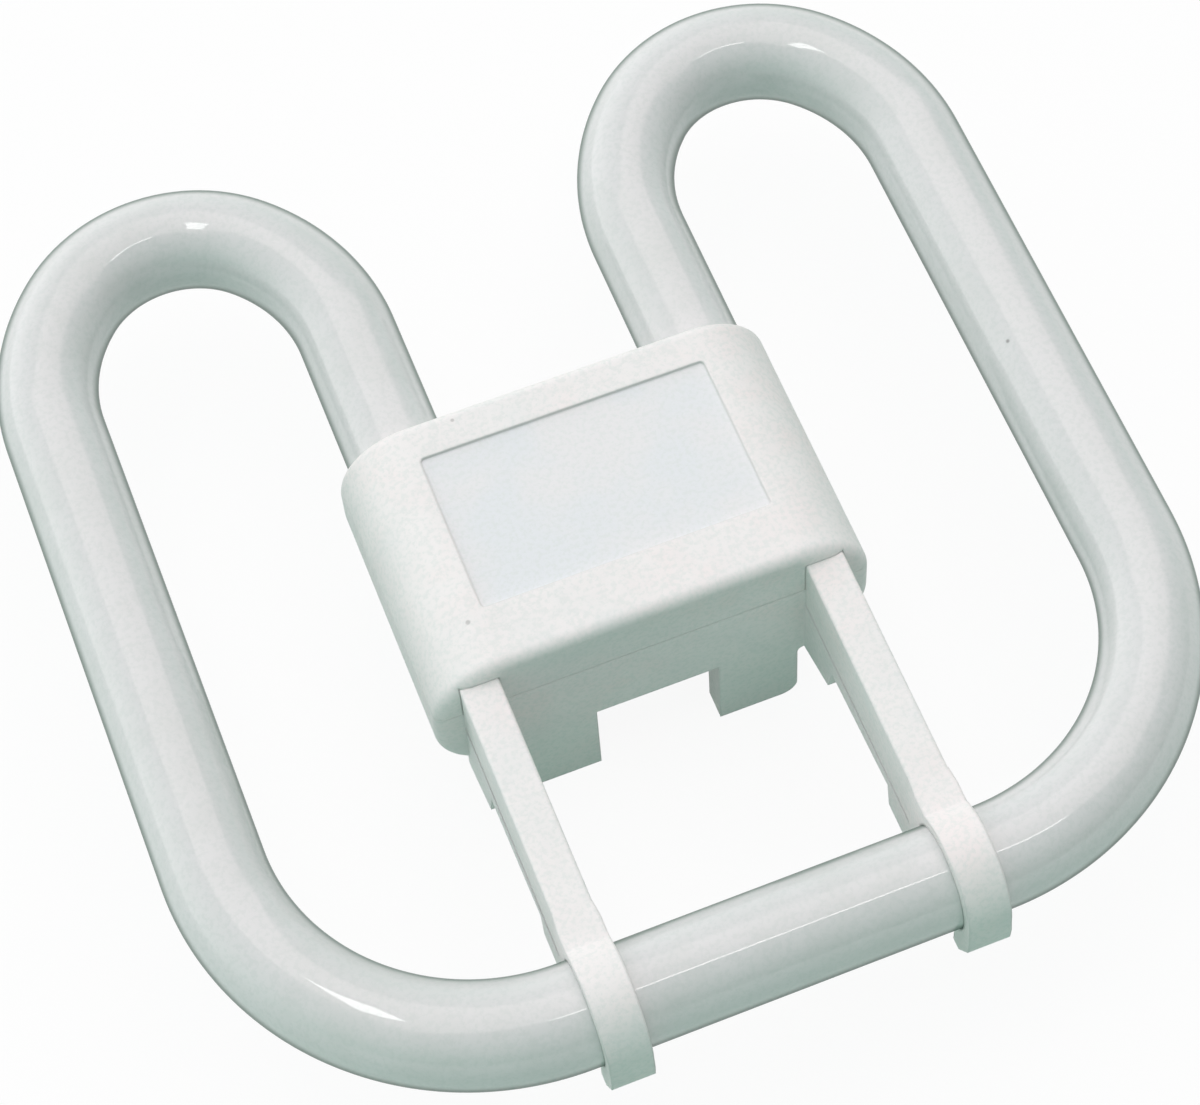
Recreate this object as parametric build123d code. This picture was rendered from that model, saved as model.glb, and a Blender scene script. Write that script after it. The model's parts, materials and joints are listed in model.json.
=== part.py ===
from build123d import *
import os
from math import cos, radians, sin

os.makedirs("parts", exist_ok=True)

# A square compact fluorescent lamp, lying face up on the ends of its plug skirt.
# X runs across the lamp, Y from the bar to the lobes, Z from the plug to the lit front.
# The origin is under the middle of the lamp, level with the ends of the skirt.

# Glass tube
tube_d = 13.5
lamp_width = 138.0          # over the outer legs
lamp_length = 141.0         # over the bar and the lobe tops
inner_leg_pitch = 42.3      # between the centrelines of the two legs that enter the housing
bar_corner_r = 35.0         # on the centreline
lobe_rise = 24.4            # from the end of the straight legs to the top of a lobe, on the centreline
lobe_side_turn = 45.0       # degrees turned by each wide side arc of a lobe
tube_in_housing = 13.0      # how far each end goes in past the outer face of the back wall
tube_end_chamfer = 2.0      # on the closed ends
stem_d = 4.0                # sealed stem on each end, where the lead wires come out
stem_len = 2.5

# Housing
housing_width = 60.0
housing_depth = 38.0
housing_height = 24.3
cover_rise = 9.0            # from the tube's centreline to the flat front of the cover
housing_corner_r = 10.0     # rounding of the sides, seen from the bar
rim_r = 1.5                 # rounding of the front and back rims
bar_to_housing = 43.5       # from the bar's centreline to the housing's near wall
wall = 1.8
hole_clearance = 0.2        # round the tube where it enters
panel_width = 39.5          # shallow label recess in the cover
panel_length = 23.6
panel_depth = 0.4
panel_shift = 1.5           # recess centre, past the housing's centre
panel_corner_r = 0.6

# Plug skirt
skirt_width = 39.6
skirt_height = 11.7
skirt_end_wall = 4.0        # walls towards the bar and the lobes
skirt_side_wall = 2.8
skirt_corner_r = 2.4
skirt_foot_r = 0.9          # inside rounding where the skirt meets the housing
notch_width = 17.2
recess_sink = 2.7           # how far the plug recess goes up into the housing

# Contact pins
pin_d = 2.4
pin_pitch = 8.0
pin_free_len = 8.0
pin_shank_d = 3.2           # part held in the floor
pin_hole_clearance = 0.05
pin_collar_d = 4.4
pin_collar_len = 1.0
pin_tail_d = 1.6
pin_tail_len = 3.0
pin_tip_chamfer = 0.5
pin_boss_d = 5.6
pin_boss_len = 0.8

# Arms and clips
arm_pitch = 47.0
arm_width = 5.2
arm_top = 6.2               # above the tube's centreline
arm_edge_r = 0.4
flange_width = 5.5          # lower flange of the arm
flange_top = -3.8
flange_root = -7.2          # underside of the flange beside the rib, and where the jaw starts
flange_end = -5.6
rib_reach = 9.2             # deeper rib beside the housing
rib_slant = 1.2             # its free end leans back towards the housing
rib_end_bottom = -12.4
core_width = 2.0            # hollow on the arm's underside
core_roof = 1.8
clip_width = 5.7
clip_wall = 1.6
clip_clearance = 0.1
shoulder_from = 10.8        # where the arm widens to the clip, from the bar's centreline
shoulder_to = 8.5
clip_bottom = -9.8
clip_round = 0.9            # lower corners of the clip, seen along the arm
jaw_angle = 45.0            # where the inner jaw ends, below the level of the centreline
jaw_root = 16.4             # the jaw's web starts here, from the bar's centreline
jaw_heel = 15.7
lip_reach = 2.0             # how far the lip's ridge stands outside the glass
lip_ridge = -2.4
lip_nose = -5.0             # the lip's outer face ends here and slopes in under the glass
lip_lean = 0.15
lip_slope = 2.9
lip_hook = 2.25             # how far the lip hooks under the glass
lip_round = 0.7

# Assembly features inside the housing
tongue_thick = 1.0
tongue_rise = 1.5
tongue_root = 2.0
tongue_clearance = 0.1
tongue_inset = 4.0          # how far the tongue stays from the housing's rounded sides
slot_clearance = 0.05
rib_thick = 1.6
rib_offsets = (3.6, 9.0)    # saddles, from the outer face of the back wall
rib_span = 16.0
saddle_clearance = 0.15
bed_width = 9.0
bed_depth = 3.0             # cement under the glass

# Starter, capacitor and wires
starter_d = 9.0
starter_shoulder = 2.5      # slope at each end of the starter's bulb
starter_len = 22.0
starter_stub_d = 2.0
starter_stub_len = 2.0
starter_from_middle = 9.0
cradle_pitch = 12.0
cradle_rise = 3.0
capacitor_size = (9.0, 4.0, 7.0)
capacitor_from_middle = 6.5
capacitor_edge_r = 0.8
lead_d = 1.0
lead_pitch = 2.2

# Places that follow from the sizes above
tube_r = tube_d / 2
outer_x = lamp_width / 2 - tube_r
inner_x = inner_leg_pitch / 2
arm_x = arm_pitch / 2
overall_length = lamp_length + lip_reach
bar_y = -overall_length / 2 + lip_reach + tube_r
lobe_top_y = overall_length / 2 - tube_r
lobe_y = lobe_top_y - lobe_rise
near_y = bar_y + bar_to_housing
far_y = near_y + housing_depth
mid_y = (near_y + far_y) / 2
base_z = skirt_height
cover_z = base_z + housing_height
axis_z = cover_z - cover_rise
mid_z = (base_z + cover_z) / 2
floor_z = base_z + recess_sink
floor_top = floor_z + wall
tube_end_y = far_y - tube_in_housing
stem_end_y = tube_end_y - stem_len


def both_sides(solid):
    """The solid and its mirror image across the lamp's middle."""
    return [solid, mirror(solid, about=Plane.YZ)]


def y_rod(x, y_from, y_to, z, radius):
    """A round bar along Y."""
    return Pos(x, (y_from + y_to) / 2, z) * Rot(90, 0, 0) * Cylinder(radius, y_to - y_from)


def rounded_block(inset):
    """The housing's outside, or its hollow when inset by the wall."""
    outline = RectangleRounded(
        housing_width - 2 * inset, housing_height - 2 * inset, housing_corner_r - inset
    )
    return extrude(
        Plane((0, mid_y, mid_z), x_dir=(1, 0, 0), z_dir=(0, -1, 0)) * outline,
        (housing_depth - 2 * inset) / 2,
        both=True,
    )


def block(x_from, x_to, y_from, y_to, z_from, z_to):
    """A plain block between two corners."""
    centre = Pos((x_from + x_to) / 2, (y_from + y_to) / 2, (z_from + z_to) / 2)
    return centre * Box(x_to - x_from, y_to - y_from, z_to - z_from)


# Glass tube: two lobes, two outer legs and the bar, bent from one length and closed at both ends
def make_tube():
    share = cos(radians(lobe_side_turn))
    half_span = (outer_x - inner_x) / 2
    spread = share**2 - (1 - share) ** 2
    side_r = (lobe_rise * share - half_span * (1 - share)) / spread
    top_r = (half_span * share - lobe_rise * (1 - share)) / spread
    lobe = ((side_r, lobe_side_turn), (top_r, 180 - 2 * lobe_side_turn), (side_r, lobe_side_turn))

    path = [Line((-inner_x, tube_end_y), (-inner_x, lobe_y))]

    def bend(radius, turn):
        path.append(JernArc(path[-1] @ 1, path[-1] % 1, radius, turn))

    def run(length):
        start = path[-1] @ 1
        path.append(Line(start, start + (path[-1] % 1) * length))

    for radius, turn in lobe:
        bend(radius, turn)
    run(lobe_y - bar_y - bar_corner_r)
    bend(bar_corner_r, 90)
    run(2 * (outer_x - bar_corner_r))
    bend(bar_corner_r, 90)
    run(lobe_y - bar_y - bar_corner_r)
    for radius, turn in lobe:
        bend(radius, turn)
    run(lobe_y - tube_end_y)

    centreline = Wire(path)
    section = Plane((-inner_x, tube_end_y, 0), z_dir=(0, 1, 0)) * Circle(tube_r)
    glass = sweep(section, path=centreline)
    ends = glass.edges().filter_by(GeomType.CIRCLE).filter_by_position(
        Axis.Y, tube_end_y - 0.01, tube_end_y + 0.01
    )
    glass = chamfer(ends, tube_end_chamfer)
    stem = y_rod(inner_x, stem_end_y, tube_end_y + tube_end_chamfer, 0, stem_d / 2)
    return Pos(0, 0, axis_z) * (glass + both_sides(stem)), centreline.length


# Side views of one arm's web, its flange and its clip, drawn round the bar's centreline
def arm_outlines():
    ring_in = tube_r + clip_clearance
    ring_out = ring_in + clip_wall
    wall_at = bar_to_housing + wall / 2
    rib_at = bar_to_housing - rib_reach
    body_bottom = base_z - axis_z
    jaw_end = (ring_in * cos(radians(jaw_angle)), -ring_in * sin(radians(jaw_angle)))
    glass_space = Circle(ring_out)

    web = Polygon(
        (wall_at, arm_top), (0, arm_top), (0, flange_top), (wall_at, flange_top), align=None
    )
    flange = Polygon(
        (wall_at, flange_top),
        (jaw_end[0], flange_top),
        (jaw_end[0], clip_bottom),
        (jaw_heel, clip_bottom),
        (jaw_root, flange_end),
        (rib_at, flange_root),
        (rib_at + rib_slant, rib_end_bottom),
        (bar_to_housing, body_bottom),
        (wall_at, body_bottom),
        align=None,
    )
    lip_out = tube_r + lip_reach
    lip = Polygon(
        (-ring_out, 0),
        (-lip_out, lip_ridge),
        (-lip_out + lip_lean, lip_nose),
        (-lip_out + lip_lean + lip_slope, clip_bottom),
        (-ring_in + lip_hook, clip_bottom),
        (-ring_in + lip_hook, 0),
        align=None,
    )
    lip = fillet(lip.vertices().sort_by(Axis.Y)[:3], lip_round)
    half = Rectangle(2 * ring_out, 2 * ring_out)
    upper_ring = Circle(ring_out) - Pos(0, -ring_out) * half
    jaw_ring = Circle(ring_out) - Pos(jaw_end[0] - ring_out, 0) * half
    neck = Polygon(
        (shoulder_from, arm_top), (0, arm_top), (0, flange_top), (shoulder_from, flange_top),
        align=None,
    )
    clip = upper_ring + jaw_ring + neck + lip - Circle(ring_in)
    return web - glass_space, flange - glass_space, clip


def make_arm():
    side = Plane((arm_x, bar_y, axis_z), x_dir=(0, 1, 0), z_dir=(1, 0, 0))
    web, flange, clip = arm_outlines()
    web_bar = extrude(side * web, arm_width / 2, both=True)
    top_edges = web_bar.edges().filter_by(Axis.Y).group_by(Axis.Z)[-1]
    web_bar = fillet(top_edges, arm_edge_r)
    flange_bar = extrude(side * flange, flange_width / 2, both=True)

    band = clip_width / 2
    stem = arm_width / 2
    shoulders = Polygon(
        (-band, -shoulder_from),
        (band, -shoulder_from),
        (band, shoulder_to),
        (stem, shoulder_from),
        (-stem, shoulder_from),
        (-band, shoulder_to),
        align=None,
    )
    clip_space = extrude(Pos(arm_x, bar_y, 0) * shoulders, cover_z)
    front = RectangleRounded(clip_width, 2 * (cover_z - axis_z - clip_bottom), clip_round)
    across = Plane((arm_x, bar_y, cover_z), x_dir=(1, 0, 0), z_dir=(0, -1, 0)) * front
    clip_band = extrude(side * clip, band, both=True) & clip_space
    clip_band &= extrude(across, bar_to_housing, both=True)
    arm = web_bar + flange_bar + clip_band
    hollow = block(
        arm_x - core_width / 2,
        arm_x + core_width / 2,
        bar_y + jaw_root,
        near_y - wall,
        base_z - rim_r,
        axis_z + arm_top - core_roof,
    )
    return arm - hollow


def tube_spaces(clearance, y_from, y_to):
    return both_sides(y_rod(inner_x, y_from, y_to, axis_z, tube_r + clearance))


def make_shell():
    outside = rounded_block(0)
    rims = outside.faces().sort_by(Axis.Y)
    outside = fillet(rims[0].edges() + rims[-1].edges(), rim_r)
    return outside, rounded_block(wall)


def make_cover(outside, hollow):
    cover = outside - hollow
    cover -= block(-housing_width, housing_width, near_y - 1, far_y + 1, base_z - 1, axis_z)
    cover -= tube_spaces(saddle_clearance, tube_end_y - 1, far_y - wall)
    panel = RectangleRounded(panel_width, panel_length, panel_corner_r)
    cover -= extrude(Pos(0, mid_y + panel_shift, cover_z - panel_depth) * panel, 1)
    cover -= tube_spaces(hole_clearance, far_y - 2 * wall, far_y + 1)
    slot = block(
        arm_x - arm_width / 2 - slot_clearance,
        arm_x + arm_width / 2 + slot_clearance,
        near_y - 1,
        near_y + wall + 0.01,
        axis_z - 1,
        axis_z + arm_top + slot_clearance,
    )
    cover -= both_sides(slot)
    for offset in rib_offsets:
        rib = block(
            inner_x - rib_span / 2,
            inner_x + rib_span / 2,
            far_y - offset - rib_thick / 2,
            far_y - offset + rib_thick / 2,
            axis_z + tube_r / 2,
            cover_z - wall / 2,
        )
        saddle = y_rod(
            inner_x, far_y - offset - rib_thick, far_y - offset + rib_thick, axis_z,
            tube_r + saddle_clearance,
        )
        cover += both_sides((rib & outside) - saddle)
    return cover


def make_base(outside, hollow):
    skirt_x = skirt_width / 2
    profile = Pos(0, (base_z + rim_r) / 2) * Rectangle(skirt_width, base_z + rim_r)
    profile += Pos(0, base_z + rim_r / 2) * Rectangle(skirt_width + 4 * skirt_foot_r, rim_r)
    profile = fillet(profile.vertices().group_by(Axis.Y)[0], skirt_corner_r)
    feet = profile.vertices().filter_by_position(Axis.Y, base_z - 0.01, base_z + 0.01)
    profile = fillet(feet.sort_by(Axis.X)[1:3], skirt_foot_r)
    skirt = extrude(
        Plane((0, mid_y, 0), x_dir=(1, 0, 0), z_dir=(0, -1, 0)) * profile, housing_depth / 2, both=True
    )
    base = outside + skirt

    recess_x = skirt_x - skirt_side_wall
    recess_near = near_y + skirt_end_wall
    recess_far = far_y - skirt_end_wall
    recess = block(-recess_x, recess_x, recess_near, recess_far, -1, floor_z)
    over_recess = block(
        -recess_x - wall, recess_x + wall, recess_near - wall, recess_far + wall, 0, floor_top
    )
    base -= hollow - over_recess

    for offset in rib_offsets:
        rib = block(
            inner_x - rib_span / 2,
            inner_x + rib_span / 2,
            far_y - offset - rib_thick / 2,
            far_y - offset + rib_thick / 2,
            base_z,
            axis_z - tube_r / 4,
        )
        base += both_sides(rib & outside)
    base -= tube_spaces(saddle_clearance, tube_end_y - 1, far_y - wall)

    starter_y = mid_y - starter_from_middle
    cradle = block(
        cradle_pitch / 2 - rib_thick / 2,
        cradle_pitch / 2 + rib_thick / 2,
        starter_y - starter_d / 2 - rib_thick,
        starter_y + starter_d / 2 + rib_thick,
        floor_top - wall / 2,
        floor_top + cradle_rise,
    )
    base += both_sides(cradle)
    base -= Pos(0, starter_y, floor_top + starter_d / 2) * Rot(0, 90, 0) * Cylinder(
        starter_d / 2 + saddle_clearance, cradle_pitch + 2 * rib_thick
    )

    base -= block(-housing_width, housing_width, near_y - 1, far_y + 1, axis_z, cover_z + 1)
    base -= recess
    base -= block(-notch_width / 2, notch_width / 2, near_y - 1, far_y + 1, -1, floor_z)
    base -= tube_spaces(hole_clearance, far_y - 2 * wall, far_y + 1)

    tongue_x = housing_width / 2 - wall - tongue_inset
    for side_y, inward in ((near_y + wall, 1), (far_y - wall, -1)):
        root = sorted((side_y, side_y + inward * tongue_thick))
        free = sorted(
            (side_y + inward * tongue_clearance, side_y + inward * tongue_thick)
        )
        tongue = block(-tongue_x, tongue_x, root[0], root[1], axis_z - tongue_root, axis_z)
        tongue += block(
            -tongue_x, tongue_x, free[0], free[1], axis_z - tongue_root, axis_z + tongue_rise
        )
        tongue -= tube_spaces(2 * hole_clearance, far_y - 3 * wall, far_y + 1)
        base += tongue

    base += both_sides(make_arm())

    pin_x = pin_pitch / 2
    boss = Pos(pin_x, mid_y, floor_z - pin_boss_len / 2) * Cylinder(pin_boss_d / 2, pin_boss_len)
    base += both_sides(boss)
    bore_len = wall + pin_boss_len
    bore = Pos(pin_x, mid_y, floor_top - bore_len / 2) * Cylinder(
        pin_shank_d / 2 + pin_hole_clearance, 2 * bore_len
    )
    return base - both_sides(bore)


def make_pin(side):
    shank_len = wall + pin_boss_len
    tip_z = floor_z - pin_boss_len - pin_free_len
    free = Cylinder(pin_d / 2, pin_free_len, align=(Align.CENTER, Align.CENTER, Align.MIN))
    free = chamfer(free.edges().sort_by(Axis.Z)[0], pin_tip_chamfer)
    up = (Align.CENTER, Align.CENTER, Align.MIN)
    pin = free + Pos(0, 0, pin_free_len) * Cylinder(pin_shank_d / 2, shank_len, align=up)
    pin += Pos(0, 0, pin_free_len + shank_len) * Cylinder(pin_collar_d / 2, pin_collar_len, align=up)
    tail_from = pin_free_len + shank_len + pin_collar_len
    pin += Pos(0, 0, tail_from) * Cylinder(pin_tail_d / 2, pin_tail_len, align=up)
    return Pos(side * pin_pitch / 2, mid_y, tip_z) * pin


# Cement between the two saddles, under each end of the glass
def make_bed(side, hollow):
    y_from = far_y - rib_offsets[1] + rib_thick / 2
    y_to = far_y - rib_offsets[0] - rib_thick / 2
    bed = block(
        side * inner_x - bed_width / 2,
        side * inner_x + bed_width / 2,
        y_from,
        y_to,
        axis_z - tube_r - bed_depth,
        axis_z - tube_r / 2,
    )
    return (bed & hollow) - y_rod(side * inner_x, y_from - 1, y_to + 1, axis_z, tube_r)


def make_starter():
    bulb = Cylinder(starter_d / 2, starter_len)
    bulb = chamfer(bulb.edges().filter_by(GeomType.CIRCLE), starter_shoulder)
    bulb += Cylinder(starter_stub_d / 2, starter_len + 2 * starter_stub_len)
    return Pos(0, mid_y - starter_from_middle, floor_top + starter_d / 2) * Rot(0, 90, 0) * bulb


def make_capacitor():
    body = Box(*capacitor_size)
    body = fillet(body.edges().filter_by(Axis.Z), capacitor_edge_r)
    return Pos(0, mid_y + capacitor_from_middle, floor_top + capacitor_size[2] / 2) * body


# A wire bent square at each corner
def sweep_lead(points):
    path = Polyline(*points)
    section = Plane(path @ 0, z_dir=path % 0) * Circle(lead_d / 2)
    return sweep(section, path=path, transition=Transition.RIGHT)


# Wire from the inner side of a tube end to the pin beside it
def make_pin_lead(side):
    pin_top = floor_top + pin_collar_len + pin_tail_len
    stem_x = side * (inner_x - lead_pitch / 2)
    return sweep_lead(
        [
            (stem_x, stem_end_y, axis_z),
            (stem_x, mid_y, axis_z),
            (side * pin_pitch / 2, mid_y, axis_z),
            (side * pin_pitch / 2, mid_y, pin_top),
        ]
    )


# Wire from the outer side of a tube end to the starter
def make_starter_lead(side):
    starter_y = mid_y - starter_from_middle
    starter_z = floor_top + starter_d / 2
    stem_x = side * (inner_x + lead_pitch / 2)
    return sweep_lead(
        [
            (stem_x, stem_end_y, axis_z),
            (stem_x, starter_y, axis_z),
            (stem_x, starter_y, starter_z),
            (side * (starter_len / 2 + starter_stub_len), starter_y, starter_z),
        ]
    )


outside, hollow = make_shell()
tube, tube_length = make_tube()
nodes = {
    "discharge_tube": tube,
    "front_cover": make_cover(outside, hollow),
    "rear_base": make_base(outside, hollow),
    "starter_bulb": make_starter(),
    "suppression_capacitor": make_capacitor(),
}
for name, side in (("left", -1), ("right", 1)):
    nodes[f"contact_pin_{name}"] = make_pin(side)
    nodes[f"end_cement_{name}"] = make_bed(side, hollow)
    nodes[f"pin_lead_{name}"] = make_pin_lead(side)
    nodes[f"starter_lead_{name}"] = make_starter_lead(side)

for name, solid in nodes.items():
    export_step(solid, f"parts/{name}.step")
print(f"centreline of the glass {tube_length:.1f} mm, weight basis {tube_length * 3.1416 * tube_r**2:.0f} mm3")
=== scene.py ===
import json
import math
import bmesh
import bpy
from mathutils import Matrix, Vector


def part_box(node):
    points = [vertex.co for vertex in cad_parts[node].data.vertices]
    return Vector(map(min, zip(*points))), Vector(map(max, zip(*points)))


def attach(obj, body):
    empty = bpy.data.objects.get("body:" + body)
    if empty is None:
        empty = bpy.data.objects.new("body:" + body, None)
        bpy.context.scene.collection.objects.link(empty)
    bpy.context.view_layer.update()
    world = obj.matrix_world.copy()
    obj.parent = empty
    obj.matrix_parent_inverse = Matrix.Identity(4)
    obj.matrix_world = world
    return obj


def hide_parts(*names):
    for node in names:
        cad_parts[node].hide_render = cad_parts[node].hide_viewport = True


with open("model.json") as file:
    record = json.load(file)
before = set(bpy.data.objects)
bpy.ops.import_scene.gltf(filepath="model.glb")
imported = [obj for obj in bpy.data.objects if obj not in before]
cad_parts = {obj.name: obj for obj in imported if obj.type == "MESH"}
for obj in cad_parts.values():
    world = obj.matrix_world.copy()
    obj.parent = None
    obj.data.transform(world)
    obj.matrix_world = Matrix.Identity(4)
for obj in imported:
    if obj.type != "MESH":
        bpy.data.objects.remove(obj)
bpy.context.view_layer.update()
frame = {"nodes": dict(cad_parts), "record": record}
mm = 0.001
up = Vector((0, 0, 1))

# Viewpoint of the photograph, in the lamp's own frame
cameraView = {
    "eye": Vector((-66.554, -220.54, 426.76)) * mm,
    "right": Vector((0.928536, -0.370464, -0.024035)),
    "down": Vector((-0.330108, -0.7943, -0.510015)),
    "sensorWidth": 36.0,
    "pictureWidth": 1200,  # pixels
    "focalLength": 3531.8,  # pixels
    "offCentre": (80, -80),  # pixels from the picture's middle to the lens axis
}


def addCamera(view):
    data = bpy.data.cameras.new("photoView")
    data.sensor_width = view["sensorWidth"]
    data.lens = view["sensorWidth"] * view["focalLength"] / view["pictureWidth"]
    data.shift_x = -view["offCentre"][0] / view["pictureWidth"]
    data.shift_y = view["offCentre"][1] / view["pictureWidth"]
    data.clip_start = 0.01
    camera = bpy.data.objects.new("photoView", data)
    right = view["right"].normalized()
    top = -view["down"].normalized()
    turned = Matrix((right, top, right.cross(top))).transposed().to_4x4()
    camera.matrix_world = Matrix.Translation(view["eye"]) @ turned
    bpy.context.scene.collection.objects.link(camera)
    bpy.context.scene.camera = camera


addCamera(cameraView)
print("camera set")


# One socket of a material, so that shader maths reads as plain sums
class Wire:
    def __init__(self, finish, socket):
        self.finish = finish
        self.socket = socket

    def sums(self, operation, first, second=0):
        return self.finish.node("ShaderNodeMath", {"operation": operation}, {0: first, 1: second})

    def __add__(self, other):
        return self.sums("ADD", self, other)

    def __sub__(self, other):
        return self.sums("SUBTRACT", self, other)

    def __mul__(self, other):
        return self.sums("MULTIPLY", self, other)

    def __radd__(self, other):
        return self.sums("ADD", other, self)

    def __rsub__(self, other):
        return self.sums("SUBTRACT", other, self)

    def __rmul__(self, other):
        return self.sums("MULTIPLY", other, self)


# One material, or the world, with one method for every other node
class Finish:
    def __init__(self, name, owner=None):
        self.owner = owner or bpy.data.materials.new(name)
        self.owner.use_nodes = True
        self.tree = self.owner.node_tree
        self.shader = self.tree.nodes.get("Principled BSDF")

    def plug(self, socket, value):
        if isinstance(value, Wire):
            self.tree.links.new(value.socket, socket)
        else:
            socket.default_value = value

    def node(self, kind, settings=None, sockets=None, out=0):
        made = self.tree.nodes.new(kind)
        for key, value in (settings or {}).items():
            setattr(made, key, value)
        named = {socket.identifier: socket for socket in made.inputs}
        for key, value in (sockets or {}).items():
            self.plug(named[key] if key in named else made.inputs[key], value)
        results = {socket.identifier: socket for socket in made.outputs}
        return Wire(self, results[out] if out in results else made.outputs[out])

    def outputs(self, kind, names, sockets=None):  # several outputs of one node
        made = self.node(kind, {}, sockets, out=names[0]).socket.node
        return [Wire(self, made.outputs[name]) for name in names]

    def place(self):  # metres, in the lamp's own frame
        return self.node("ShaderNodeTexCoord", out="Object")

    def noise(self, where, perMetre, detail, rough=0.5):
        return self.node(
            "ShaderNodeTexNoise",
            {},
            {"Vector": where, "Scale": perMetre, "Detail": detail, "Roughness": rough},
            out="Fac",
        )

    def fade(self, value, low, high):  # 0 at low, 1 at high, eased between them
        return self.node(
            "ShaderNodeMapRange",
            {"interpolation_type": "SMOOTHSTEP"},
            {"Value": value, "From Min": low, "From Max": high},
        )

    def blend(self, share, first, second):
        return self.node(
            "ShaderNodeMix",
            {"data_type": "RGBA"},
            {"Factor_Float": share, "A_Color": first, "B_Color": second},
            out="Result_Color",
        )

    def vectors(self, operation, first, second):
        return self.node(
            "ShaderNodeVectorMath", {"operation": operation}, {0: first, 1: second}, out="Value"
        )

    def bump(self, height, depth, strength, normal=None):
        sockets = {"Height": height, "Distance": depth, "Strength": strength}
        if normal:
            sockets["Normal"] = normal
        return self.node("ShaderNodeBump", {}, sockets)

    def set(self, **values):
        for key, value in values.items():
            self.plug(self.shader.inputs[key.replace("_", " ")], value)


def tone(red, green, blue):
    # a colour given as 0 to 255 screen values, as linear light
    def linear(value):
        value = value / 255
        return value / 12.92 if value <= 0.04045 else ((value + 0.055) / 1.055) ** 2.4

    return (linear(red), linear(green), linear(blue), 1.0)


# White coated glass: phosphor seen through a glossy clear wall
glassLook = {
    "coat": tone(226, 226, 226),
    "thinCoat": tone(221, 222, 221),
    "cloudsPerMetre": 38,
    "streaksPerMetre": 260,
    "cloudShare": 0.7,  # the rest of the coat's thin places are streaks
    "thinSpan": (0.42, 0.66),
    "powder": tone(206, 212, 209),
    "powderPerMetre": 1400,
    "powderSpan": (0.42, 0.66),
    "powderShare": 0.32,
    "dull": 0.42,
    "smearPerMetre": 90,
    "smearDull": 0.12,
    "gloss": 1.0,
    "smearedGloss": 0.1,  # gloss lost where the glass is smeared
    "glossRoughness": 0.03,
    "glossIndex": 1.6,
    "ripplePerMetre": 120,
    "rippleDepth": 0.01,  # mm
    "wall": tone(84, 110, 98),  # painted dark reflection, shown where the glass is seen edge-on
    "wallSpan": (0.56, 0.84),  # on a scale from 0, seen face-on, to 1, seen edge-on
    "wallShare": 0.82,
}


def glassFinish(look):
    finish = Finish("coatedGlass")
    where = finish.place()
    clouds = finish.noise(where, look["cloudsPerMetre"], 3)
    streaks = finish.noise(where, look["streaksPerMetre"], 2)
    uneven = look["cloudShare"] * clouds + (1 - look["cloudShare"]) * streaks
    colour = finish.blend(finish.fade(uneven, *look["thinSpan"]), look["coat"], look["thinCoat"])
    powder = finish.fade(finish.noise(where, look["powderPerMetre"], 2, 0.6), *look["powderSpan"])
    colour = finish.blend(powder * look["powderShare"], colour, look["powder"])
    colour = addSpecks(finish, where, colour, specks["glass"], specks["glassShare"])
    smear = finish.noise(where, look["smearPerMetre"], 4, 0.6)
    ripple = finish.noise(where, look["ripplePerMetre"], 1)
    finish.set(
        Base_Color=colour,
        Roughness=look["dull"] + look["smearDull"] * smear,
        Specular_IOR_Level=0.2,
        Coat_Weight=look["gloss"] - look["smearedGloss"] * smear,
        Coat_Roughness=look["glossRoughness"],
        Coat_IOR=look["glossIndex"],
        Normal=finish.bump(ripple, look["rippleDepth"] * mm, 0.5),
    )
    addPaintedOutline(finish, look)
    return finish.owner


# Painted dark reflection along the outline: a dark green-grey shader is mixed in where the glass
# is seen edge-on
def addPaintedOutline(finish, look):
    facing = finish.node("ShaderNodeLayerWeight", {}, {"Blend": 0.5}, out="Facing")
    wall = finish.node(
        "ShaderNodeBsdfPrincipled",
        {},
        {"Base Color": look["wall"], "Roughness": 0.4, "Specular IOR Level": 0.1},
    )
    # painted outline: the dark shader's share grows as the glass turns edge-on
    share = finish.fade(facing, *look["wallSpan"]) * look["wallShare"]
    coated = Wire(finish, finish.shader.outputs["BSDF"])
    mixed = finish.node("ShaderNodeMixShader", {}, {0: share, 1: coated, 2: wall})
    finish.tree.links.new(mixed.socket, finish.tree.nodes["Material Output"].inputs["Surface"])


# Satin off-white mouldings
plasticLook = {
    "body": tone(246, 243, 242),
    "warm": tone(248, 241, 240),
    "cool": tone(240, 240, 239),
    "label": tone(239, 238, 239),
    "coolLabel": tone(234, 237, 240),
    "blotchPerMetre": 55,
    "blotchSpan": (0.35, 0.65),
    "labelSpan": (0.4, 0.6),
    "hazePerMetre": 210,
    "hazeSpan": (0.3, 0.7),
    "grainPerMetre": 1600,
    "grainDepth": 0.014,  # mm
    "grainShade": tone(222, 228, 225),
    "grainSpan": (0.42, 0.66),
    "grainShare": 0.4,
    "wavesPerMetre": 160,
    "waveDepth": 0.05,  # mm
    "edgeRound": 0.6,  # mm, softened edges
    # rim colour: partly wear, partly a painted highlight along the rounded edges
    "wornEdgeHighlight": tone(250, 248, 247),
    "wornEdgeHighlightSpan": (0.01, 0.2),
    "wornEdgeHighlightShare": 0.8,
    "roughness": 0.42,
    "grainRough": 0.12,
    "waveRough": 0.06,
    "wornGloss": 0.08,
}

# Dark dust specks left on the lamp: x, y, z and radius, in mm
specks = {
    "cover": ((-13.8, 17.0, 36, 0.35), (-23.8, 16.7, 35.6, 0.3), (-22.1, -11.7, 35.8, 0.45)),
    "glass": ((58.7, 2.2, 33.0, 0.45), (57.6, 3.1, 32.6, 0.25)),
    "colour": tone(104, 96, 96),
    "glassShare": 0.7,
    "coverShare": 0.35,
    "core": 0.4,  # share of the radius that is fully dark
}


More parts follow.
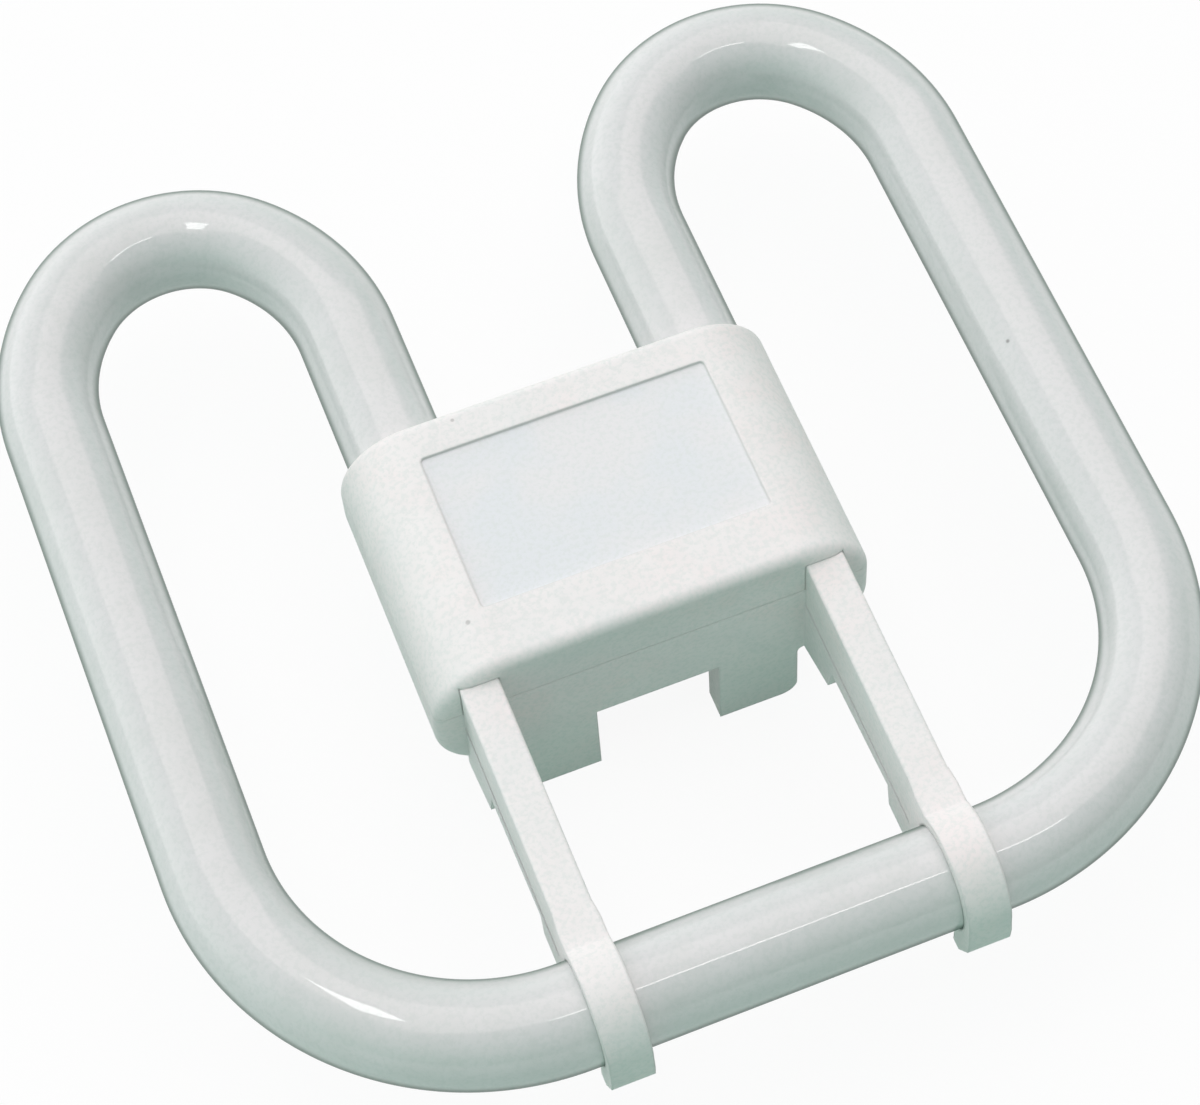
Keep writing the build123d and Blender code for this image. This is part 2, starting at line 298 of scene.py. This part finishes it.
def addSpecks(finish, where, colour, points, share):
    for x, y, z, radius in points:
        away = finish.vectors("DISTANCE", where, Vector((x, y, z)) * mm)
        near = finish.fade(away, radius * mm, specks["core"] * radius * mm)
        colour = finish.blend(near * share, colour, specks["colour"])
    return colour


def plasticFinish(name, look, label=None):
    finish = Finish(name)
    where = finish.place()
    blotch = finish.noise(where, look["blotchPerMetre"], 3)
    haze = finish.noise(where, look["hazePerMetre"], 2)
    grain = finish.noise(where, look["grainPerMetre"], 2, 0.6)
    waves = finish.noise(where, look["wavesPerMetre"], 1)
    colour = finish.blend(finish.fade(blotch, *look["blotchSpan"]), look["warm"], look["cool"])
    colour = finish.blend(finish.fade(haze, *look["hazeSpan"]), colour, look["body"])
    if label:
        cool = finish.fade(blotch, *look["labelSpan"])
        bare = finish.blend(cool, look["label"], look["coolLabel"])
        colour = finish.blend(labelMask(finish, where, label), colour, bare)
    shade = finish.fade(grain, *look["grainSpan"]) * look["grainShare"]
    colour = finish.blend(shade, colour, look["grainShade"])
    soft = finish.node("ShaderNodeBevel", {"samples": 8}, {"Radius": look["edgeRound"] * mm})
    true = finish.node("ShaderNodeNewGeometry", out="Normal")
    # Lighter along the rounded rims, where the bevelled normal departs from the true one: partly
    # wear, partly a painted highlight
    edge = finish.fade(1 - finish.vectors("DOT_PRODUCT", soft, true), *look["wornEdgeHighlightSpan"])
    colour = finish.blend(edge * look["wornEdgeHighlightShare"], colour, look["wornEdgeHighlight"])
    if label:
        colour = addSpecks(finish, where, colour, specks["cover"], specks["coverShare"])
    rough = look["roughness"] + look["grainRough"] * grain + look["waveRough"] * waves
    relief = finish.bump(grain, look["grainDepth"] * mm, 0.6, soft)
    finish.set(
        Base_Color=colour,
        Roughness=rough - look["wornGloss"] * edge,
        Normal=finish.bump(waves, look["waveDepth"] * mm, 0.5, relief),
    )
    return finish.owner


def labelMask(finish, where, label):
    across, along, height = finish.outputs("ShaderNodeSeparateXYZ", "XYZ", {0: where})
    along = along - label["middle"] * mm

    def inside(value, limit, edge):
        return finish.fade(value, limit * mm, (limit - edge) * mm)

    insideWidth = inside(across.sums("ABSOLUTE", across), label["halfWidth"], label["edge"])
    insideLength = inside(along.sums("ABSOLUTE", along), label["halfLength"], label["edge"])
    return insideWidth * insideLength * inside(height, label["top"], 2 * label["edge"])


# The floor of the shallow recess in the cover, placed from the cover's own box, in mm
coverLow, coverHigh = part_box("front_cover")
label = {
    "halfWidth": 19.75,
    "halfLength": 11.8,
    "middle": (coverLow.y + coverHigh.y) / 2 / mm + 1.5,
    "top": coverHigh.z / mm - 0.2,
    "edge": 0.05,
}


# Turned brass of the pins, with a film of tarnish and fine lines round each pin
brassLook = {
    "bright": (0.80, 0.60, 0.30, 1),
    "tarnished": (0.52, 0.38, 0.20, 1),
    "tarnishPerMetre": 700,
    "tarnishSpan": (0.4, 0.75),
    "roughness": 0.24,
    "tarnishRough": 0.22,
    "linesPerMetre": 1100,
    "lineWander": 1.5,
    "lineDepth": 0.01,  # mm
}


def brassFinish(look):
    finish = Finish("contactBrass")
    where = finish.place()
    film = finish.noise(where, look["tarnishPerMetre"], 4, 0.6)
    lines = finish.node(
        "ShaderNodeTexWave",
        {"bands_direction": "Z"},
        {"Vector": where, "Scale": look["linesPerMetre"], "Distortion": look["lineWander"]},
        out="Fac",
    )
    tarnish = finish.fade(film, *look["tarnishSpan"])
    finish.set(
        Base_Color=finish.blend(tarnish, look["bright"], look["tarnished"]),
        Metallic=1.0,
        Roughness=look["roughness"] + look["tarnishRough"] * film,
        Normal=finish.bump(lines, look["lineDepth"] * mm, 0.4),
    )
    return finish.owner


# Pieces inside the housing: one colour mottled with another, with a slight relief in mm
cementLook = {
    "name": "cement",
    "colour": tone(226, 224, 218),
    "shade": tone(206, 203, 196),
    "mottlePerMetre": 900,
    "roughness": 0.7,
    "relief": 0.12,
}
starterLook = {
    "name": "starterGlass",
    "colour": tone(196, 200, 203),
    "shade": tone(150, 155, 160),
    "mottlePerMetre": 260,
    "roughness": 0.12,
    "relief": 0.01,
}
capacitorLook = {
    "name": "capacitorFilm",
    "colour": tone(176, 82, 44),
    "shade": tone(150, 62, 34),
    "mottlePerMetre": 500,
    "roughness": 0.25,
    "relief": 0.06,
}
insulationLook = {
    "name": "wireInsulation",
    "colour": tone(226, 226, 222),
    "shade": tone(212, 212, 206),
    "mottlePerMetre": 1200,
    "roughness": 0.4,
    "relief": 0.02,
}
mottling = {"span": (0.35, 0.7), "rough": 0.1, "strength": 0.6}


def mottledFinish(look):
    finish = Finish(look["name"])
    mottle = finish.noise(finish.place(), look["mottlePerMetre"], 3)
    shaded = finish.fade(mottle, *mottling["span"])
    finish.set(
        Base_Color=finish.blend(shaded, look["colour"], look["shade"]),
        Roughness=look["roughness"] + mottling["rough"] * mottle,
        Normal=finish.bump(mottle, look["relief"] * mm, mottling["strength"]),
    )
    return finish.owner


finishes = {
    "coated_glass": glassFinish(glassLook),
    "cover_plastic": plasticFinish("coverPlastic", plasticLook, label),
    "base_plastic": plasticFinish("basePlastic", plasticLook),
    "contact_brass": brassFinish(brassLook),
    "cement": mottledFinish(cementLook),
    "starter_glass": mottledFinish(starterLook),
    "capacitor_film": mottledFinish(capacitorLook),
    "wire_insulation": mottledFinish(insulationLook),
}
slots = {part["node"]: part["material_slot"] for part in frame["record"]["subparts"]}
for name, obj in frame["nodes"].items():
    obj.data.materials.clear()
    obj.data.materials.append(finishes[slots[name]])
print("finishes made:", len(finishes))


# A route of straight runs and round bends, drawn as one smooth curve
class Route:
    def __init__(self, start, heading):
        self.heading = Vector(heading)
        self.points = [{"at": Vector(start) * mm, "before": Vector(), "after": Vector()}]

    def add(self, point, before, after):
        self.points[-1]["after"] = before
        self.points.append({"at": point, "before": after, "after": Vector()})

    def run(self, length):
        step = self.heading * length * mm
        self.add(self.points[-1]["at"] + step, step / 3, -step / 3)

    def bend(self, radius, degrees, axis=up):
        pieces = math.ceil(abs(degrees) / 45)
        turn = math.radians(degrees / pieces)
        handle = 4 / 3 * math.tan(turn / 4) * radius * mm
        for _ in range(pieces):
            here = self.points[-1]["at"]
            toCentre = axis.cross(self.heading) * radius * mm
            spin = Matrix.Rotation(turn, 3, axis)
            ahead = spin @ self.heading
            self.add(here + toCentre - spin @ toCentre, self.heading * handle, -ahead * handle)
            self.heading = ahead

    def curve(self, name):
        data = bpy.data.curves.new(name, "CURVE")
        data.dimensions = "3D"
        spline = data.splines.new("BEZIER")
        spline.bezier_points.add(len(self.points) - 1)
        for knot, point in zip(spline.bezier_points, self.points):
            knot.handle_left_type = "FREE"
            knot.handle_right_type = "FREE"
            knot.co = point["at"]
            knot.handle_left = point["at"] + point["before"]
            knot.handle_right = point["at"] + point["after"]
        spline.resolution_u = 32
        made = bpy.data.objects.new(name, data)
        bpy.context.scene.collection.objects.link(made)
        return made


# Geometry nodes: a round bar along a route, with a sloped end and a thinner stem at both ends
def barTree():
    tree = bpy.data.node_groups.new("roundBar", "GeometryNodeTree")
    tree.is_modifier = True
    sizes = {
        "Radius": 0.005,
        "Spacing": 0.001,
        "End Slope": 0.0,
        "Stem Radius": 0.0,
        "Stem Length": 0.0,
    }
    tree.interface.new_socket("Geometry", in_out="INPUT", socket_type="NodeSocketGeometry")
    for name, size in sizes.items():
        socket = tree.interface.new_socket(name, in_out="INPUT", socket_type="NodeSocketFloat")
        socket.default_value = size
    socket = tree.interface.new_socket("Sides", in_out="INPUT", socket_type="NodeSocketInt")
    socket.default_value = 32
    tree.interface.new_socket("Finish", in_out="INPUT", socket_type="NodeSocketMaterial")
    tree.interface.new_socket("Geometry", in_out="OUTPUT", socket_type="NodeSocketGeometry")

    def node(kind, settings=None, sockets=None):
        made = tree.nodes.new(kind)
        for key, value in (settings or {}).items():
            setattr(made, key, value)
        for key, value in (sockets or {}).items():
            if isinstance(value, bpy.types.NodeSocket):
                tree.links.new(value, made.inputs[key])
            else:
                made.inputs[key].default_value = value
        return made

    def sums(operation, first, second):
        return node("ShaderNodeMath", {"operation": operation}, {0: first, 1: second}).outputs[0]

    joinSlack = 0.25 * mm  # a point this close to the glass still counts as glass
    given = node("NodeGroupInput").outputs
    spaced = node(
        "GeometryNodeResampleCurve",
        {"mode": "LENGTH"},
        {"Curve": given["Geometry"], "Length": given["Spacing"]},
    )
    run = node("GeometryNodeSplineParameter").outputs["Length"]
    total = node("GeometryNodeSplineLength").outputs["Length"]
    toEnd = sums("MINIMUM", run, sums("SUBTRACT", total, run))
    pastStem = sums("SUBTRACT", toEnd, given["Stem Length"])
    endRadius = sums("SUBTRACT", given["Radius"], given["End Slope"])
    sloped = sums("ADD", endRadius, sums("MAXIMUM", pastStem, 0.0))
    body = sums("MINIMUM", sloped, given["Radius"])
    onStem = sums("LESS_THAN", pastStem, -joinSlack)
    radius = sums(
        "ADD",
        sums("MULTIPLY", onStem, given["Stem Radius"]),
        sums("MULTIPLY", sums("SUBTRACT", 1.0, onStem), body),
    )
    ring = node(
        "GeometryNodeCurvePrimitiveCircle", {}, {"Resolution": given["Sides"], "Radius": 1.0}
    )
    swept = node(
        "GeometryNodeCurveToMesh",
        {},
        {
            "Curve": spaced.outputs[0],
            "Profile Curve": ring.outputs["Curve"],
            "Scale": radius,
            "Fill Caps": True,
        },
    )
    smooth = node("GeometryNodeSetShadeSmooth", {}, {"Geometry": swept.outputs[0]})
    whole = node("GeometryNodeRealizeInstances", {}, {"Geometry": smooth.outputs[0]})
    painted = node(
        "GeometryNodeSetMaterial", {}, {"Geometry": whole.outputs[0], "Material": given["Finish"]}
    )
    node("NodeGroupOutput", {}, {"Geometry": painted.outputs[0]})
    return tree


barNodes = barTree()


def sweepBar(name, route, inputs, slotName, replaced):
    guide = route.curve(name + "Guide")
    modifier = guide.modifiers.new("roundBar", "NODES")
    modifier.node_group = barNodes
    for item in barNodes.interface.items_tree:
        if item.in_out == "INPUT" and item.name in inputs:
            modifier[item.identifier] = inputs[item.name]
        elif item.in_out == "INPUT" and item.name == "Finish":
            modifier[item.identifier] = finishes[slotName]
    evaluated = guide.evaluated_get(bpy.context.evaluated_depsgraph_get())
    mesh = bpy.data.meshes.new_from_object(evaluated)
    mesh.name = name
    bpy.data.objects.remove(guide)
    work = bmesh.new()
    work.from_mesh(mesh)
    bmesh.ops.recalc_face_normals(work, faces=work.faces)
    work.to_mesh(mesh)
    work.free()
    piece = bpy.data.objects.new(name, mesh)
    bpy.context.scene.collection.objects.link(piece)
    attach(piece, "root")
    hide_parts(replaced)


# The looped glass tube, sized from its node's box, with lengths in mm
glassLow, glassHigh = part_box("discharge_tube")
glass = {
    "radius": (glassHigh.z - glassLow.z) / 2 / mm,
    "legPitch": 42.3,  # between the two legs that enter the housing
    "cornerRadius": 35.0,
    "lobeRise": 24.4,  # from the straight legs to the top of a lobe
    "sideTurn": 45.0,  # degrees turned by each wide side of a lobe
    "endY": 5.75,  # where the glass ends, inside the housing
    "endSlope": 2.0,
    "stemRadius": 2.0,
    "stemLength": 2.5,
    "spacing": 1.0,  # between rings of the mesh
    "sides": 72,
}


def glassRoute(glass):
    radius = glass["radius"]
    inner = glass["legPitch"] / 2
    outer = glassHigh.x / mm - radius
    barY = glassLow.y / mm + radius
    lobeY = glassHigh.y / mm - radius - glass["lobeRise"]
    startY = glass["endY"] - glass["stemLength"]
    share = math.cos(math.radians(glass["sideTurn"]))
    half = (outer - inner) / 2
    spread = share**2 - (1 - share) ** 2
    sideRadius = (glass["lobeRise"] * share - half * (1 - share)) / spread
    topRadius = (half * share - glass["lobeRise"] * (1 - share)) / spread
    side = (sideRadius, glass["sideTurn"])
    lobe = (side, (topRadius, 180 - 2 * glass["sideTurn"]), side)
    leg = lobeY - barY - glass["cornerRadius"]

    route = Route((-inner, startY, (glassLow.z + glassHigh.z) / 2 / mm), (0, 1, 0))
    route.run(lobeY - startY)
    for arc in lobe:
        route.bend(*arc)
    route.run(leg)
    route.bend(glass["cornerRadius"], 90)
    route.run(2 * (outer - glass["cornerRadius"]))
    route.bend(glass["cornerRadius"], 90)
    route.run(leg)
    for arc in lobe:
        route.bend(*arc)
    route.run(lobeY - startY)
    return route


sweepBar(
    "glassTube",
    glassRoute(glass),
    {
        "Radius": glass["radius"] * mm,
        "Spacing": glass["spacing"] * mm,
        "Sides": glass["sides"],
        "End Slope": glass["endSlope"] * mm,
        "Stem Radius": glass["stemRadius"] * mm,
        "Stem Length": glass["stemLength"] * mm,
    },
    "coated_glass",
    "discharge_tube",
)
print("glass tube swept")


# The four wires inside the housing, with rounded bends, in mm
wire = {"radius": 0.5, "bend": 1.5, "fromStem": 1.1, "spacing": 0.4, "sides": 20}


def centre(node):
    low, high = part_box(node)
    return (low + high) / 2 / mm


def wireRoutes(side):
    pin = centre("contact_pin_right")
    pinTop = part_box("contact_pin_right")[1].z / mm
    starter = centre("starter_bulb")
    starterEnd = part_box("starter_bulb")[1].x / mm
    axisZ = centre("discharge_tube").z
    stemY = glass["endY"] - glass["stemLength"]
    inner = glass["legPitch"] / 2
    bend = wire["bend"]

    toPin = Route((side * (inner - wire["fromStem"]), stemY, axisZ), (0, -1, 0))
    toPin.run(stemY - pin.y - bend)
    toPin.bend(bend, 90, up * side * -1)
    toPin.run(inner - wire["fromStem"] - pin.x - 2 * bend)
    toPin.bend(bend, 90, Vector((0, -side, 0)))
    toPin.run(axisZ - pinTop - bend)

    toStarter = Route((side * (inner + wire["fromStem"]), stemY, axisZ), (0, -1, 0))
    toStarter.run(stemY - starter.y - bend)
    toStarter.bend(bend, 90, Vector((1, 0, 0)))
    toStarter.run(axisZ - starter.z - 2 * bend)
    toStarter.bend(bend, 90, Vector((0, side, 0)))
    toStarter.run(inner + wire["fromStem"] - starterEnd - bend)
    return {"pin": toPin, "starter": toStarter}


for sideName, side in (("left", -1), ("right", 1)):
    for end, route in wireRoutes(side).items():
        sweepBar(
            end + "Wire_" + sideName,
            route,
            {
                "Radius": wire["radius"] * mm,
                "Spacing": wire["spacing"] * mm,
                "Sides": wire["sides"],
            },
            "wire_insulation",
            end + "_lead_" + sideName,
        )
print("wires swept")

# Studio: a small bright lamp, a large soft panel overhead with a thin brighter strip at its near
# edge, surroundings that are bright at the back left and dim and greenish at the front, and a
# pale floor. Spans of the world are shares of a direction, and -1 to 1 runs from left to right,
# front to back and down to up.
studio = {
    "keyAt": Vector((-0.215, 0.095, 0.97)),  # metres
    "keySize": (0.25, 0.09),
    "keyPower": 0.4,  # watts
    "panels": (
        {
            "across": (-0.38, 0.68),
            "deep": (-0.245, 0.6),
            "softness": (0.07, 0.012),
            "light": (1.70, 1.53, 1.55, 1),
        },
        {
            "across": (0.0, 0.42),
            "deep": (-0.272, -0.225),
            "softness": (0.05, 0.012),
            "light": (7.6, 7.2, 7.2, 1),
        },
    ),
    "panelRise": (0.3, 0.5),  # a panel fades out below this height of the world
    "sideSpan": (-0.6, 0.6),
    "frontSpan": (-0.6, 0.6),
    "skySpan": (0.0, 0.9),
    "above": (0.50, 0.56, 0.57, 1),
    "backLeft": (2.08, 2.00, 2.04, 1),
    "backRight": (0.42, 0.70, 0.61, 1),
    "frontLeft": (0.13, 0.46, 0.32, 1),
    "frontRight": (0.01, 0.04, 0.02, 1),
    "backdropSpan": (0.1, 0.05),  # mirrored rays below this height meet the white backdrop
    "floorSize": 40,  # metres
    "floorDrop": 0.2,  # mm below the lamp
    "floorSeen": (0.93, 0.93, 0.93, 1),
    "floorBounce": (0.32, 0.48, 0.41, 1),
    "floorWhite": 0.92,
}
rayKinds = ("Is Camera Ray", "Is Glossy Ray", "Is Transmission Ray")


def addLights(studio):
    data = bpy.data.lights.new("keyLight", "AREA")
    data.energy = studio["keyPower"]
    data.shape = "RECTANGLE"
    data.size, data.size_y = studio["keySize"]
    key = bpy.data.objects.new("keyLight", data)
    key.location = studio["keyAt"]
    key.rotation_euler = (-studio["keyAt"]).to_track_quat("-Z", "Y").to_euler()
    bpy.context.scene.collection.objects.link(key)

    world = bpy.data.worlds.new("studio")
    bpy.context.scene.world = world
    sky = Finish("studio", world)
    way = sky.node("ShaderNodeTexCoord", out="Generated")
    across, depth, height = sky.outputs("ShaderNodeSeparateXYZ", "XYZ", {0: way})
    toRight = sky.fade(across, *studio["sideSpan"])
    front = sky.blend(toRight, studio["frontLeft"], studio["frontRight"])
    back = sky.blend(toRight, studio["backLeft"], studio["backRight"])
    horizon = sky.blend(sky.fade(depth, *studio["frontSpan"]), front, back)
    colour = sky.blend(sky.fade(height, *studio["skySpan"]), horizon, studio["above"])
    for panel in studio["panels"]:
        inside = sky.fade(height, *studio["panelRise"])
        spans = (across, *panel["across"]), (depth, *panel["deep"])
        for (value, low, high), edge in zip(spans, panel["softness"]):
            inside = inside * sky.fade(value, low, low + edge)
            inside = inside * sky.fade(value, high, high - edge)
        colour = sky.blend(inside, colour, panel["light"])
    direct, mirrored, through = sky.outputs("ShaderNodeLightPath", rayKinds)
    low = sky.fade(height, *studio["backdropSpan"])
    colour = sky.blend(direct + (mirrored + through) * low, colour, (1, 1, 1, 1))
    sky.plug(sky.tree.nodes["Background"].inputs["Color"], colour)


def addFloor(studio):
    place = (0, 0, -studio["floorDrop"] * mm)
    bpy.ops.mesh.primitive_plane_add(size=studio["floorSize"], location=place)
    floor = bpy.context.object
    floor.name = "floor"
    finish = Finish("paleFloor")
    direct, mirrored, through = finish.outputs("ShaderNodeLightPath", rayKinds)
    seen = direct.sums("MINIMUM", direct + mirrored + through, 1)
    tint = finish.blend(seen, studio["floorBounce"], studio["floorSeen"])
    matt = finish.node("ShaderNodeBsdfDiffuse", {}, {"Color": tint})
    white = finish.node("ShaderNodeEmission", {}, {"Strength": 1.0})
    share = seen * studio["floorWhite"]
    mixed = finish.node("ShaderNodeMixShader", {}, {0: share, 1: matt, 2: white})
    # From below, the floor is clear, so that the underside of the lamp shows
    below = finish.node("ShaderNodeNewGeometry", out="Backfacing")
    clear = finish.node("ShaderNodeBsdfTransparent")
    mixed = finish.node("ShaderNodeMixShader", {}, {0: below, 1: mixed, 2: clear})
    output = finish.tree.nodes["Material Output"]
    finish.tree.links.new(mixed.socket, output.inputs["Surface"])
    finish.tree.nodes.remove(finish.shader)
    floor.data.materials.append(finish.owner)


addLights(studio)
addFloor(studio)
print("studio lit")

bpy.context.scene.view_settings.view_transform = "Standard"
